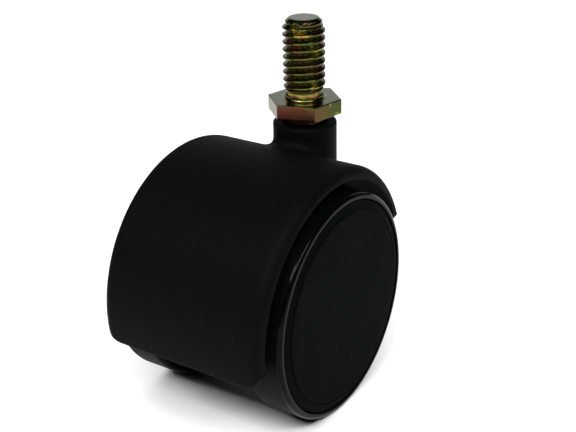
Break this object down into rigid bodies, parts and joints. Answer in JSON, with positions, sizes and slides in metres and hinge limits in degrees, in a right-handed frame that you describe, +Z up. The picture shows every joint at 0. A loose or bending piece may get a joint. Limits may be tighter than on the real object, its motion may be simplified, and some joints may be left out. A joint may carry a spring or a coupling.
{
  "type": "chair caster wheel",
  "caption": "Hooded twin-wheel swivel caster for an office chair, with a threaded stem, hexagon and two wheels on one axle.",
  "frame": {"origin": "on the stem's axis, in the plane of the hexagon's top face, which seats against the chair leg", "axes": "+Z up along the threaded stem; X along the wheels' axle; the wheels trail behind the stem, towards -Y"},
  "size_m": [0.0372, 0.0501, 0.0683],
  "materials": {
    "zinc_steel": "yellow zinc plated steel with a faint iridescent tint",
    "bare_steel": "bright drawn steel",
    "spring_steel": "dark spring steel, oiled",
    "hood_plastic": "black nylon moulding with a fine matt texture",
    "wheel_plastic": "black hard nylon, polished rim and tread",
    "cap_plastic": "black nylon with a spark-eroded matt face"
  },
  "bodies": {
    "stem": {"stem": "zinc_steel", "stem_snap_ring": "spring_steel"},
    "hood": {"hood": "hood_plastic", "thrust_pad": "bare_steel", "axle": "bare_steel", "spacer_washer_left": "bare_steel", "spacer_washer_right": "bare_steel", "push_nut_left": "spring_steel", "push_nut_right": "spring_steel"},
    "wheel_left": {"wheel_left": "wheel_plastic", "wheel_cap_left": "cap_plastic"},
    "wheel_right": {"wheel_right": "wheel_plastic", "wheel_cap_right": "cap_plastic"}
  },
  "joints": [
    {"name": "swivel", "type": "hinge", "parent": "stem", "child": "hood", "pos_m": [0, 0, 0], "axis": [0, 0, 1], "continuous": true},
    {"name": "wheel_left_roll", "type": "hinge", "parent": "hood", "child": "wheel_left", "pos_m": [0, -0.016, -0.032], "axis": [1, 0, 0], "continuous": true},
    {"name": "wheel_right_roll", "type": "hinge", "parent": "hood", "child": "wheel_right", "pos_m": [0, -0.016, -0.032], "axis": [1, 0, 0], "continuous": true}
  ]
}
